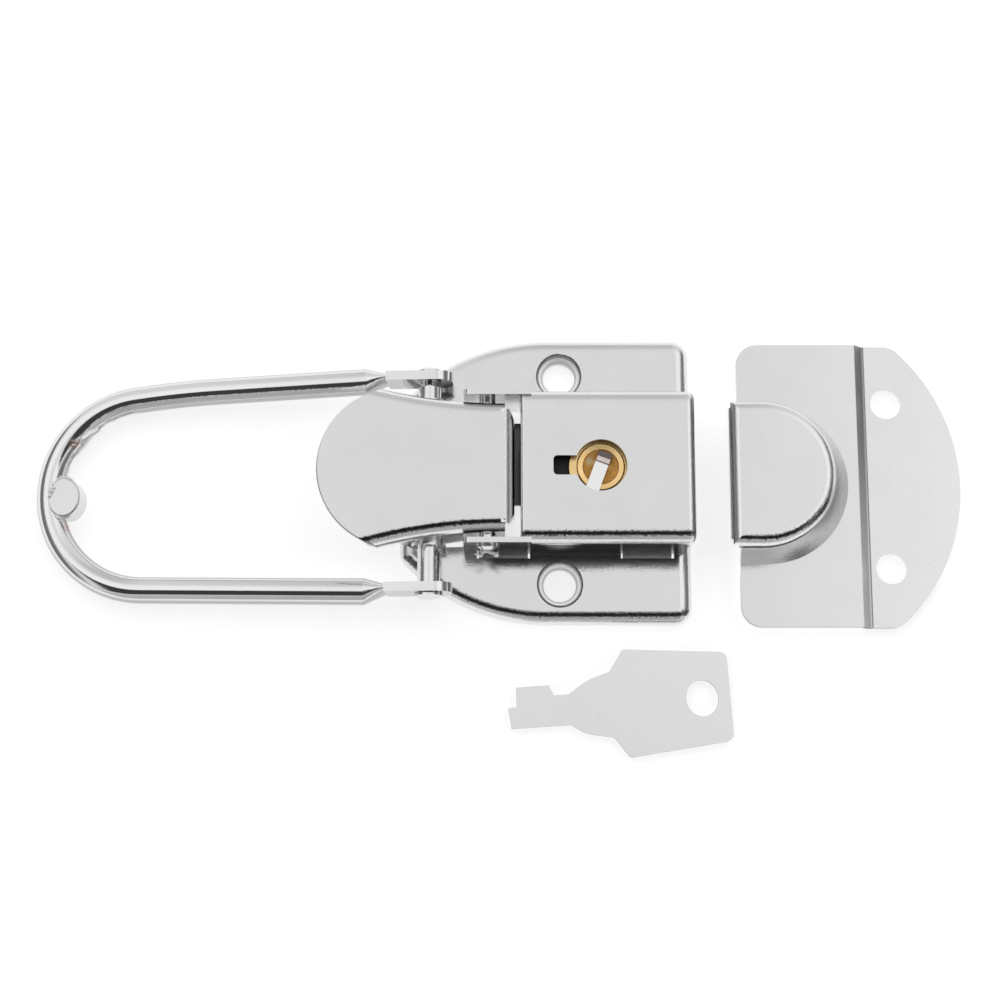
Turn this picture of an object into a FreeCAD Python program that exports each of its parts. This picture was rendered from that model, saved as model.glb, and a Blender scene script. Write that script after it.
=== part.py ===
import FreeCAD, Part
import math
import os
from FreeCAD import Vector

# Keyed toggle latch: a pressed base plate with a lock housing, a folded lever on a hinge pin,
# a wire bail that the lever carries, a strike with an undercut neck, and a flat key.
# All lengths are millimetres, all angles degrees.
# The origin lies on the mounting plane, midway between the two screw holes of the base plate.
# +X runs from the lever towards the strike, +Y towards the back, +Z away from the mounting plane.

# Base plate
BASE_SHEET = 0.9
BASE_HEIGHT = 2.5
BASE_BEND = 1.9
BASE_RIGHT = 19.9
BASE_HALF_WIDTH = 22.0
BASE_TAPER_START = -2.0
BASE_TAPER_RADIUS = 29.8
BASE_LEFT = -24.2
BASE_CORNER = 2.6
BASE_NOSE_CORNER = 2.4
SCREW_SPACING = 32.2
SCREW_HOLE = 4.9
DIMPLE_RIM = 6.8
DIMPLE_WALL = 0.6
DIMPLE_LIP = 0.45
WINDOW_LEFT = -22.6
WINDOW_RIGHT = -13.6
WINDOW_HALF_WIDTH = 10.4
WINDOW_CORNER = 1.5
TAIL_ROOM_RIGHT = -5.9
TAIL_ROOM_FRONT = (-9.6, -4.0)
TAIL_ROOM_BACK = (8.7, 10.4)
SLOT_SIDE_ROOM = 0.65
SLOT_END_ROOM = 0.3

# Lock housing
HOUSING_SHEET = 0.8
HOUSING_LEFT = -6.0
HOUSING_RIGHT = 19.7
HOUSING_HALF_WIDTH = 11.5
HOUSING_TOP = 13.0
HOUSING_BEND = 2.0
HOUSING_LEFT_BEND = 0.5
HOUSING_RIGHT_BEND = 1.1
EAR_REACH = 8.4
EAR_CORNER = 0.9
FLANGE_WINDOW_HALF = 4.7
FLANGE_WINDOW_TOP = 11.0
CORNER_GAP = 0.15
TAB_CENTRES = (-8.5, 13.2)
TAB_WIDTH = 7.4
TAB_FOLD = 3.0
TAB_ROUND = 0.72
FLANGE_SIDE_CUT = 1.1

# Hinge pin and its place
HINGE_X = -10.9
HINGE_Z = 9.2
HINGE_PIN = 2.4
PIN_HEAD = 3.8
PIN_HEAD_HEIGHT = 0.6
HEAD_DRUM_SHARE = 0.45
HEAD_CROWN_SHARE = 0.3

# Lever
LEVER_SHEET = 0.9
LEVER_BEND = 2.0
TAB_CENTRE_X = -24.0
TAB_CENTRE_Y = -0.35
TAB_RADIUS = 12.0
TAB_CORNER_FRONT = -26.5
TAB_CORNER_ROOT = (-28.8, 10.65)
TAB_CORNER_TIP = (-26.35, 11.82)
LEVER_HALF_WIDTH = 9.7
LEVER_SIDE_RADIUS = 78.0
LEVER_SIDE_END = -8.3
LEVER_FLANGE_END = -29.6
LEVER_TAIL_FACE = -6.9
TAIL_DEPTH = 8.6
TAIL_HALF_WIDTH = 8.5
TAIL_FOOT_HALF = 4.6
TAIL_TRIM_TOP = 9.4
TAIL_TRIM_START = -8.1
TAIL_TRIM_SLOPE = 2.0
RIM_DEPTH = 2.5
WEB_RUN = 1.4
WEB_RISE = 0.8
AXLE_LOBE = 3.0
HINGE_LOBE = 3.2
BURR_RADIUS = 2.6
BURR_HEIGHT = 0.6

# Bail axle: a shouldered rivet that turns in the lever and carries the bail on its ends
AXLE_X = -19.6
AXLE_Z = 6.4
AXLE = 3.4
AXLE_TENON = 2.2
AXLE_HEAD = 4.2
AXLE_HEAD_HEIGHT = 0.8
AXLE_SHIFT = -1.35
AXLE_SHOULDERS = 30.5
AXLE_END_PLAY = 0.7

# Bail: one bent wire with two flattened ears
WIRE = 4.0
EAR_THICKNESS = 1.4
EAR_HALF_HEIGHT = 2.9
EAR_END = 3.5
EAR_ROUND = 2.4
EAR_ROOT = 6.4
EAR_OVERLAP = 0.3
WIRE_START = 9.6
LOOP_CENTRE_X = -43.1
LOOP_RADIUS = 14.7
LOOP_SHIFT = -1.05
BACK_ARM_ANGLE = 2.6
BACK_SHOULDER_ANGLE = 8.0
BACK_SHOULDER_RADIUS = 138.0
FRONT_ARM_ANGLE = 1.0
STUD_LENGTH = 5.0
STUD_WIDTH = 6.1
STUD_HEIGHT = 4.0
STUD_FROM_END = 2.6
STUD_SHIFT = -0.7
STUD_EDGE = 0.35

# Lock plug, key bar and cam
PLUG_X = 5.8
KEYHOLE = 7.7
KEY_SLOT_LENGTH = 7.0
KEY_SLOT_WIDTH = 2.9
KEY_SLOT_CORNER = 0.6
PLUG_BODY = 7.2
PLUG_RING_BORE = 5.5
PLUG_FLANGE = 9.3
PLUG_FLANGE_HEIGHT = 0.7
PLUG_RING_HEIGHT = 0.45
PLUG_RECESS = 1.15
PLUG_LENGTH = 5.1
DISH_DEPTH = 1.7
RING_ROUND = 0.36
RING_CHAMFER = 0.12
RING_CHAMFER_RUN = 0.75
KEYWAY_LENGTH = 4.4
KEYWAY_DEPTH = 1.0
BAR_WIDTH = 2.0
BAR_SHEET = 0.25
BAR_REACH = 4.3
BAR_DROP = 2.1
BAR_FOLD = -0.5
BAR_FOLD_GAP = 0.3
BAR_LEAF_DIP = 0.55
BAR_LEAF_BEND = -1.5
BAR_LEAF_END = -2.3
BAR_LEAF_END_DIP = 0.3
BAR_ANGLE = -110.6
STEM = 2.6
CLIP_DIAMETER = 10.0
CLIP_SHEET = 0.5
CAM_DIAMETER = 7.6
CAM_SHEET = 1.0
CAM_LIFT = 0.5
CAM_PIN = 2.0
CAM_THROW = 1.8
PLUG_TURN = 90.0

# Lock plate, bolt, its guide rivets and its leaf spring
PLATE_SHEET = 0.8
PLATE_LEFT = -3.8
PLATE_RIGHT = 17.4
PLATE_BEND = 1.2
BOLT_SHEET = 1.5
BOLT_TIP = -5.75
BOLT_END = 15.9
BOLT_HALF_WIDTH = 3.6
BOLT_NOSE_CHAMFER = 0.8
BOLT_CORNER = 0.5
CAM_PIN_ROOM = 0.15
RIVET = 2.4
RIVET_HEAD = 4.4
RIVET_HEAD_HEIGHT = 0.8
RIVET_CLINCH = 3.6
RIVET_CLINCH_HEIGHT = 0.6
RIVET_HEAD_ROUND = 0.4
LEFT_RIVET_X = -1.9
RIGHT_RIVET_X = 12.4
SPRING_SHEET = 0.35
SPRING_HEIGHT = 1.4
SPRING_FOOT_X = 4.5
SPRING_FOOT = 4.8
SPRING_REACH = 10.0

# Strike
STRIKE_SHEET = 1.2
STRIKE_LIFT = 1.3
STRIKE_LEFT = 27.2
STRIKE_JOGGLE = 45.5
JOGGLE_RUN = 1.2
JOGGLE_THIN = 0.3
STRIKE_SHIFT = -0.7
STRIKE_HALF_WIDTH = 21.8
STRIKE_CORNER = 3.2
STRIKE_ARC_CENTRE = 32.1
STRIKE_ARC_RADIUS = 29.0
STRIKE_HOLE_X = 50.2
STRIKE_HOLE_SPACING = 25.6
STRIKE_HOLE = 4.7
NECK_CENTRE = 29.5
NECK_RADIUS = 8.8
NECK_FLARE = 3.5
NECK_LEAN = 2.0
NECK_STATIONS = (0.0, 0.06, 0.16, 0.32, 0.55, 1.0)
FLARE_SHARE = 0.6
FLARE_POWER = 3
CAP_SHEET = 1.0
CAP_TOP = 13.0
CAP_LEFT = 24.8
CAP_CENTRE = 29.6
CAP_RADIUS = 10.95
CAP_SHIFT = -0.3
CAP_BEND = 1.7
CAP_RIM = 2.5
CAP_NOTCH = 1.1
CAP_NOTCH_SHARE = 0.5

# Key, drawn from the centre of its ring hole with its tip towards -X
KEY_SHEET = 1.0
KEY_HOLE_X = 21.2
KEY_HOLE_Y = -33.0
KEY_ANGLE = 4.0
KEY_BOW_END = 4.2
KEY_BOW_START = -11.4
KEY_BOW_HALF = 8.1
KEY_BOW_TAPER = 5.4
KEY_NECK_X = -13.6
KEY_NECK_HALF = 4.9
KEY_SHANK_X = -19.9
KEY_SHANK_TOP = 1.95
KEY_SHANK_BOTTOM = -2.6
KEY_BIT_X = -22.4
KEY_BIT_TOP = 3.5
KEY_STEP_X = -27.8
KEY_STEP_Y = 0.55
KEY_TIP = -29.0
KEY_END_CORNER = 1.2
KEY_BOW_CORNER = 0.6
KEY_NECK_CORNER = 0.4
KEY_THROAT_TOP = (3.4, 1.0, 8.0)
KEY_THROAT_BOTTOM = (4.2, 0.8, 6.0)
KEY_BIT_SLOPE = 0.3
KEY_STEP_SLOPE = 0.1
KEY_BIT_CORNER = 0.2
KEY_HOLE_WIDTH = 4.8
KEY_HOLE_HEIGHT = 5.4

# Clearances
RUNNING_FIT = 0.05
SEAT_GAP = 0.02
SLIDE_GAP = 0.1
MARGIN = 1.0


def block(x0, x1, y0, y1, z0, z1):
    """Box between two corners."""
    return Part.makeBox(x1 - x0, y1 - y0, z1 - z0, Vector(x0, y0, z0))


def rod_z(x, y, z0, z1, diameter):
    """Upright cylinder."""
    return Part.makeCylinder(diameter / 2, z1 - z0, Vector(x, y, z0), Vector(0, 0, 1))


def rod_y(x, z, y0, y1, diameter):
    """Cylinder lying along Y."""
    return Part.makeCylinder(diameter / 2, y1 - y0, Vector(x, y0, z), Vector(0, 1, 0))


def rounded_loop(corners, z=0.0):
    """Closed wire through (x, y, radius) corners, with a tangent arc at each radius above 0."""
    edges = []
    stops = []
    count = len(corners)
    for i in range(count):
        x, y, radius = corners[i]
        here = Vector(x, y, z)
        if radius == 0:
            stops.append((here, None, here))
            continue
        before = Vector(corners[i - 1][0], corners[i - 1][1], z) - here
        after = Vector(corners[(i + 1) % count][0], corners[(i + 1) % count][1], z) - here
        before.normalize()
        after.normalize()
        half = before.getAngle(after) / 2
        reach = radius / math.tan(half)
        middle = before + after
        middle.normalize()
        mid = here + middle * (radius / math.sin(half) - radius)
        stops.append((here + before * reach, mid, here + after * reach))
    for i in range(count):
        start, mid, end = stops[i]
        if mid is not None:
            edges.append(Part.Arc(start, mid, end).toShape())
        following = stops[(i + 1) % count][0]
        if end.distanceToPoint(following) > 1e-6:
            edges.append(Part.LineSegment(end, following).toShape())
    return Part.Wire(edges)


def slab(wire, height):
    """Flat wire in an XY plane, filled and raised."""
    return Part.Face(wire).extrude(Vector(0, 0, height))


def edges_at_height(shape, z):
    """Edges that lie wholly in the plane at height z."""
    found = []
    for edge in shape.Edges:
        box = edge.BoundBox
        if abs(box.ZMin - z) < 1e-5 and abs(box.ZMax - z) < 1e-5:
            found.append(edge)
    return found


def upright_edges(shape, x_low, x_high):
    """Vertical edges whose x lies in a range."""
    found = []
    for edge in shape.Edges:
        box = edge.BoundBox
        if box.XLength < 1e-5 and box.YLength < 1e-5 and x_low <= box.XMin <= x_high:
            found.append(edge)
    return found


def joined(solids):
    """Union of touching solids, with seams between like faces removed."""
    whole = solids[0]
    for solid in solids[1:]:
        whole = whole.fuse(solid)
    return whole.removeSplitter()


def mirrored(shape, y=0.0):
    """Copy on the other side of the plane at y."""
    return shape.mirror(Vector(0, y, 0), Vector(0, 1, 0))


def domed_head(x, z, y_seat, outwards, diameter, height):
    """Rivet or pin head on an axis along Y: a short drum and a domed crown."""
    drum = height * HEAD_DRUM_SHARE
    axis = Vector(0, outwards, 0)
    head = Part.makeCylinder(diameter / 2, drum, Vector(x, y_seat, z), axis)
    crown_seat = Vector(x, y_seat + outwards * drum, z)
    crown = Part.makeCone(diameter / 2, diameter * HEAD_CROWN_SHARE, height - drum, crown_seat, axis)
    return head.fuse(crown)


# Heights that several pieces share
BASE_UNDERSIDE = BASE_HEIGHT - BASE_SHEET
HOUSING_UNDERSIDE = HOUSING_TOP - HOUSING_SHEET
HOUSING_INNER_HALF = HOUSING_HALF_WIDTH - HOUSING_SHEET
EAR_LEFT = HOUSING_LEFT - EAR_REACH
PLUG_RING_TOP = HOUSING_TOP - PLUG_RECESS
PLUG_FLANGE_TOP = PLUG_RING_TOP - PLUG_RING_HEIGHT
PLUG_FLANGE_SEAT = PLUG_FLANGE_TOP - PLUG_FLANGE_HEIGHT
PLATE_TOP = PLUG_FLANGE_SEAT - SLIDE_GAP
PLATE_UNDERSIDE = PLATE_TOP - PLATE_SHEET
CLIP_TOP = PLATE_UNDERSIDE - SLIDE_GAP
PLUG_BOTTOM = PLUG_RING_TOP - PLUG_LENGTH
BOLT_BOTTOM = BASE_HEIGHT + SLIDE_GAP
BOLT_TOP = BOLT_BOTTOM + BOLT_SHEET
KEYWAY_HALF = BAR_WIDTH / 2 + RUNNING_FIT
CAM_UNDERSIDE = BOLT_TOP + CAM_LIFT
CAM_TOP = CAM_UNDERSIDE + CAM_SHEET
# The cam pin starts and ends half the turn to each side of the plug's own Y axis.
CAM_REST_ANGLE = 90.0 - PLUG_TURN / 2
CAM_PIN_X = CAM_THROW * math.cos(math.radians(CAM_REST_ANGLE))
CAM_PIN_Y = CAM_THROW * math.sin(math.radians(CAM_REST_ANGLE))
BOLT_STROKE = 2 * CAM_PIN_X
EAR_SHOULDER_FRONT = AXLE_SHIFT - AXLE_SHOULDERS / 2
EAR_SHOULDER_BACK = AXLE_SHIFT + AXLE_SHOULDERS / 2 - AXLE_END_PLAY
LOOP_END = -LOOP_CENTRE_X + LOOP_RADIUS
BAIL_DROOP = math.degrees(math.asin((AXLE_Z - WIRE / 2) / LOOP_END))
TAIL_BOTTOM = HOUSING_TOP - TAIL_DEPTH


def base_outline():
    """Outer edge of the base: straight sides, then one arc each side down to a cut-off nose."""
    centre_y = BASE_HALF_WIDTH - BASE_TAPER_RADIUS
    drop = BASE_TAPER_START - BASE_LEFT
    nose_half = centre_y + math.sqrt(BASE_TAPER_RADIUS ** 2 - drop ** 2)
    middle_drop = drop / 2
    middle_y = centre_y + math.sqrt(BASE_TAPER_RADIUS ** 2 - middle_drop ** 2)
    right_back = Vector(BASE_RIGHT, BASE_HALF_WIDTH, 0)
    taper_back = Vector(BASE_TAPER_START, BASE_HALF_WIDTH, 0)
    middle_back = Vector(BASE_TAPER_START - middle_drop, middle_y, 0)
    nose_back = Vector(BASE_LEFT, nose_half, 0)
    flip = [Vector(p.x, -p.y, 0) for p in (right_back, taper_back, middle_back, nose_back)]
    edges = [
        Part.LineSegment(flip[0], right_back).toShape(),
        Part.LineSegment(right_back, taper_back).toShape(),
        Part.Arc(taper_back, middle_back, nose_back).toShape(),
        Part.LineSegment(nose_back, flip[3]).toShape(),
        Part.Arc(flip[3], flip[2], flip[1]).toShape(),
        Part.LineSegment(flip[1], flip[0]).toShape(),
    ]
    return Part.Wire(edges)


def make_base_plate():
    """Shallow pan with a turned-down rim, dimpled screw holes, tab slots and a lever window."""
    outer = slab(base_outline(), BASE_HEIGHT)
    outer = outer.makeFillet(BASE_CORNER, upright_edges(outer, BASE_RIGHT - MARGIN, BASE_RIGHT + MARGIN))
    nose = upright_edges(outer, BASE_LEFT - SLIDE_GAP, BASE_LEFT + SLIDE_GAP)
    outer = outer.makeFillet(BASE_NOSE_CORNER, nose)
    footprint = [f for f in outer.Faces if f.BoundBox.ZMax < 1e-5][0]
    inner_face = Part.Face(footprint.OuterWire).makeOffset2D(-BASE_SHEET)
    inner = inner_face.extrude(Vector(0, 0, BASE_UNDERSIDE))
    outer = outer.makeFillet(BASE_BEND, edges_at_height(outer, BASE_HEIGHT))
    plate = outer.cut(inner)
    for side in (1, -1):
        y = side * SCREW_SPACING / 2
        rim = DIMPLE_RIM / 2
        hole = SCREW_HOLE / 2
        up = Vector(0, 0, 1)
        cup = Part.makeCone(hole + BASE_SHEET, rim + DIMPLE_WALL, BASE_UNDERSIDE, Vector(0, y, 0), up)
        well = Part.makeCone(hole, rim, BASE_UNDERSIDE, Vector(0, y, BASE_SHEET), up)
        plate = plate.fuse(cup).cut(well).cut(rod_z(0, y, -MARGIN, BASE_HEIGHT, SCREW_HOLE))
        lip = [e for e in edges_at_height(plate, BASE_HEIGHT)
               if abs(e.BoundBox.Center.x) < SEAT_GAP and abs(e.BoundBox.Center.y - y) < SEAT_GAP]
        plate = plate.makeFillet(DIMPLE_LIP, lip)
        for centre in TAB_CENTRES:
            half = TAB_WIDTH / 2 + SLOT_END_ROOM
            near = HOUSING_INNER_HALF - SLOT_END_ROOM
            far = HOUSING_HALF_WIDTH + SLOT_SIDE_ROOM
            low, high = sorted((side * near, side * far))
            slot = block(centre - half, centre + half, low, high, 0, BASE_HEIGHT + MARGIN)
            plate = plate.cut(slot)
    corner = WINDOW_CORNER
    window = rounded_loop([
        (WINDOW_LEFT, -WINDOW_HALF_WIDTH, corner), (WINDOW_RIGHT, -WINDOW_HALF_WIDTH, corner),
        (WINDOW_RIGHT, WINDOW_HALF_WIDTH, corner), (WINDOW_LEFT, WINDOW_HALF_WIDTH, corner)])
    plate = plate.cut(slab(window, BASE_HEIGHT + MARGIN))
    for low, high in (TAIL_ROOM_FRONT, TAIL_ROOM_BACK):
        plate = plate.cut(block(WINDOW_RIGHT - MARGIN, TAIL_ROOM_RIGHT, low, high, 0, BASE_HEIGHT + MARGIN))
    for x in (LEFT_RIVET_X, RIGHT_RIVET_X):
        plate = plate.cut(rod_z(x, 0, 0, BASE_HEIGHT + MARGIN, RIVET + 2 * SEAT_GAP))
    foot_x, foot_y = spring_foot_centre()
    plate = plate.cut(rod_z(foot_x, foot_y, 0, BASE_HEIGHT + MARGIN, RIVET + 2 * SEAT_GAP))
    return plate.removeSplitter()


def housing_tab(centre, side):
    """Tab of a side wall: down through its slot and folded outwards under the base."""
    x0 = centre - TAB_WIDTH / 2
    x1 = centre + TAB_WIDTH / 2
    fold_top = BASE_UNDERSIDE - SEAT_GAP
    fold_bottom = fold_top - HOUSING_SHEET
    leg = block(x0, x1, HOUSING_INNER_HALF, HOUSING_HALF_WIDTH, fold_bottom, BASE_HEIGHT + MARGIN)
    leaf = block(x0, x1, HOUSING_INNER_HALF, HOUSING_INNER_HALF + TAB_FOLD, fold_bottom, fold_top)
    tab = leg.fuse(leaf).removeSplitter()
    bend = [e for e in edges_at_height(tab, fold_bottom)
            if abs(e.BoundBox.YMin - HOUSING_INNER_HALF) < 1e-5 and e.BoundBox.XLength > MARGIN]
    tab = tab.makeFillet(TAB_ROUND, bend)
    return tab if side > 0 else mirrored(tab)


def keyhole_cut():
    """Round hole with a slot that runs from its centre towards the lever."""
    left = PLUG_X - KEY_SLOT_LENGTH
    half = KEY_SLOT_WIDTH / 2
    slot = rounded_loop([
        (left, -half, KEY_SLOT_CORNER), (PLUG_X, -half, 0),
        (PLUG_X, half, 0), (left, half, KEY_SLOT_CORNER)], HOUSING_UNDERSIDE - MARGIN)
    height = HOUSING_SHEET + 2 * MARGIN
    bore = rod_z(PLUG_X, 0, HOUSING_UNDERSIDE - MARGIN, HOUSING_TOP + MARGIN, KEYHOLE)
    return slab(slot, height).fuse(bore)


def housing_rounded(box, top, inset):
    """Round a box's top edges as the housing is bent: wide at the sides, tighter at the two ends."""
    sides = [e for e in edges_at_height(box, top) if e.BoundBox.XLength > e.BoundBox.YLength]
    box = box.makeFillet(HOUSING_BEND - inset, sides)
    for radius, end in ((HOUSING_LEFT_BEND, box.BoundBox.XMin), (HOUSING_RIGHT_BEND, box.BoundBox.XMax)):
        if radius > inset:
            ends = [e for e in edges_at_height(box, top) if abs(e.BoundBox.XMin - end) < 1e-5
                    and e.BoundBox.XLength < 1e-5]
            box = box.makeFillet(radius - inset, ends)
    return box


def make_lock_housing():
    """Folded box without a floor; its side walls reach left as ears that hold the hinge pin."""
    wide = HOUSING_HALF_WIDTH
    outer = block(HOUSING_LEFT, HOUSING_RIGHT, -wide, wide, BASE_HEIGHT, HOUSING_TOP)
    outer = housing_rounded(outer, HOUSING_TOP, 0)
    sheet = HOUSING_SHEET
    inner = block(HOUSING_LEFT + sheet, HOUSING_RIGHT - sheet, -wide + sheet, wide - sheet,
                  BASE_HEIGHT - MARGIN, HOUSING_UNDERSIDE)
    inner = housing_rounded(inner, HOUSING_UNDERSIDE, sheet)
    shell = outer.cut(inner)
    seam_top = HOUSING_TOP - HOUSING_BEND
    for side in (1, -1):
        low, high = sorted((side * (wide - sheet - CORNER_GAP), side * (wide + MARGIN)))
        right = HOUSING_RIGHT - sheet - CORNER_GAP
        shell = shell.cut(block(right, HOUSING_RIGHT + MARGIN, low, high, 0, seam_top))
        low, high = sorted((side * (wide - sheet - FLANGE_SIDE_CUT), side * (wide - sheet)))
        shell = shell.cut(block(HOUSING_LEFT - MARGIN, HOUSING_LEFT + sheet, low, high, 0, seam_top))
    half = FLANGE_WINDOW_HALF
    window = block(HOUSING_LEFT - MARGIN, HOUSING_LEFT + sheet + CORNER_GAP, -half, half,
                   0, FLANGE_WINDOW_TOP)
    shell = shell.cut(window).cut(keyhole_cut())
    ear = block(EAR_LEFT, HOUSING_LEFT + 2 * sheet, wide - sheet, wide, BASE_HEIGHT, HOUSING_TOP)
    ear = ear.makeFillet(EAR_CORNER, [
        e for e in ear.Edges if e.BoundBox.YLength > 0.5 and e.BoundBox.XLength < 1e-5
        and abs(e.BoundBox.XMin - EAR_LEFT) < 1e-5])
    pieces = [shell, ear, mirrored(ear)]
    for centre in TAB_CENTRES:
        pieces.append(housing_tab(centre, 1))
        pieces.append(housing_tab(centre, -1))
    housing = joined(pieces)
    pin_hole = rod_y(HINGE_X, HINGE_Z, -wide - MARGIN, wide + MARGIN, HINGE_PIN + 2 * SEAT_GAP)
    return housing.cut(pin_hole)


def make_hinge_pin():
    """Plain pin through both ears, its ends peened over."""
    seat = HOUSING_HALF_WIDTH + SEAT_GAP
    pin = rod_y(HINGE_X, HINGE_Z, -seat, seat, HINGE_PIN)
    back = domed_head(HINGE_X, HINGE_Z, seat, 1, PIN_HEAD, PIN_HEAD_HEIGHT)
    front = domed_head(HINGE_X, HINGE_Z, -seat, -1, PIN_HEAD, PIN_HEAD_HEIGHT)
    return joined([pin, back, front])


def lever_half_width(x, inset=0.0):
    """Half width of the lever: it widens towards the thumb tab along one large arc."""
    reach = LEVER_SIDE_RADIUS + inset
    return LEVER_HALF_WIDTH + LEVER_SIDE_RADIUS - math.sqrt(reach ** 2 - (LEVER_SIDE_END - x) ** 2)


def lever_channel(inset, overrun, top, bend):
    """Solid of the lever between its side walls, drawn in by inset, with rounded side edges."""
    left = LEVER_FLANGE_END - overrun
    right = LEVER_SIDE_END + overrun
    middle = (left + LEVER_SIDE_END) / 2
    half = LEVER_HALF_WIDTH - inset
    back = [Vector(LEVER_SIDE_END, half, 0), Vector(middle, lever_half_width(middle, inset), 0),
            Vector(left, lever_half_width(left, inset), 0)]
    front = [Vector(p.x, -p.y, 0) for p in back]
    edges = [
        Part.Arc(back[0], back[1], back[2]).toShape(),
        Part.LineSegment(back[2], front[2]).toShape(),
        Part.Arc(front[2], front[1], front[0]).toShape(),
    ]
    if overrun == 0:
        edges.append(Part.LineSegment(front[0], back[0]).toShape())
    else:
        edges.append(Part.LineSegment(front[0], Vector(right, -half, 0)).toShape())
        edges.append(Part.LineSegment(Vector(right, -half, 0), Vector(right, half, 0)).toShape())
        edges.append(Part.LineSegment(Vector(right, half, 0), back[0]).toShape())
    solid = slab(Part.Wire(edges), top)
    rims = [e for e in edges_at_height(solid, top) if e.BoundBox.XLength > e.BoundBox.YLength]
    return solid.makeFillet(bend, rims)


def lever_tail():
    """Strip that carries the lever's top over its end bend and down as the tail."""
    half = TAIL_HALF_WIDTH
    start = LEVER_TAIL_FACE - LEVER_BEND - SEAT_GAP
    top = HOUSING_TOP
    sheet = LEVER_SHEET
    outer = block(start, LEVER_TAIL_FACE, -half, half, TAIL_BOTTOM, top)
    bend = [e for e in edges_at_height(outer, top) if abs(e.BoundBox.XMin - LEVER_TAIL_FACE) < 1e-5]
    outer = outer.makeFillet(LEVER_BEND, bend)
    inner = block(start - MARGIN, LEVER_TAIL_FACE - sheet, -half - MARGIN, half + MARGIN,
                  TAIL_BOTTOM - MARGIN, top - sheet)
    tail = outer.cut(inner)
    run = LEVER_TAIL_FACE + MARGIN - TAIL_TRIM_START
    for side in (1, -1):
        waist = side * (TAIL_TRIM_TOP - TAIL_TRIM_SLOPE * run)
        rim = side * TAIL_TRIM_TOP
        plan = Part.makePolygon([
            Vector(TAIL_TRIM_START, rim, 0), Vector(LEVER_TAIL_FACE + MARGIN, rim, 0),
            Vector(LEVER_TAIL_FACE + MARGIN, waist, 0), Vector(TAIL_TRIM_START, rim, 0)])
        tail = tail.cut(Part.Face(plan).extrude(Vector(0, 0, top + MARGIN)))
        face = LEVER_TAIL_FACE + MARGIN
        edge = Part.makePolygon([
            Vector(face, side * TAIL_FOOT_HALF, TAIL_BOTTOM - MARGIN),
            Vector(face, side * (half + MARGIN), TAIL_BOTTOM - MARGIN),
            Vector(face, side * (half + MARGIN), top - LEVER_BEND),
            Vector(face, side * half, top - LEVER_BEND),
            Vector(face, side * TAIL_FOOT_HALF, TAIL_BOTTOM - MARGIN)])
        tail = tail.cut(Part.Face(edge).extrude(Vector(start - face - MARGIN, 0, 0)))
    return tail


def lever_side_profile():
    """Region that the lever's side walls fill, seen from the front, as a slab across the lever."""
    wide = 2 * TAB_RADIUS
    top = HOUSING_TOP + MARGIN
    rim_bottom = HOUSING_TOP - RIM_DEPTH
    strip = block(LEVER_FLANGE_END - TAB_RADIUS, LEVER_TAIL_FACE + MARGIN, -wide, wide, rim_bottom, top)
    axle_lobe = rod_y(AXLE_X, AXLE_Z, -wide, wide, 2 * AXLE_LOBE)
    hinge_lobe = rod_y(HINGE_X, HINGE_Z, -wide, wide, 2 * HINGE_LOBE)
    web_points = [
        Vector(AXLE_X - AXLE_LOBE - WEB_RUN, -wide, rim_bottom + SLIDE_GAP),
        Vector(AXLE_X - AXLE_LOBE, -wide, AXLE_Z),
        Vector(AXLE_X, -wide, AXLE_Z - AXLE_LOBE),
        Vector(HINGE_X, -wide, HINGE_Z - HINGE_LOBE),
        Vector(LEVER_SIDE_END, -wide, HINGE_Z - HINGE_LOBE + WEB_RISE),
        Vector(LEVER_SIDE_END, -wide, rim_bottom + SLIDE_GAP),
    ]
    web = Part.Face(Part.makePolygon(web_points + web_points[:1])).extrude(Vector(0, 2 * wide, 0))
    return strip.fuse(axle_lobe).fuse(hinge_lobe).fuse(web)


def lever_end_region():
    """What the thumb tab's circle and a straight run at the back corner leave of the lever, from above."""
    far = 2 * TAB_RADIUS
    circle = rod_z(TAB_CENTRE_X, TAB_CENTRE_Y, 0, HOUSING_TOP, 2 * TAB_RADIUS)
    root_x, root_y = TAB_CORNER_ROOT
    tip_x, tip_y = TAB_CORNER_TIP
    plan = [(root_x, root_y), (tip_x, tip_y), (tip_x, far), (far, far), (far, -far),
            (TAB_CORNER_FRONT, -far), (TAB_CORNER_FRONT, 0), (root_x, 0)]
    points = [Vector(x, y, 0) for x, y in plan + plan[:1]]
    return circle.fuse(Part.Face(Part.makePolygon(points)).extrude(Vector(0, 0, HOUSING_TOP)))


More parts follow.
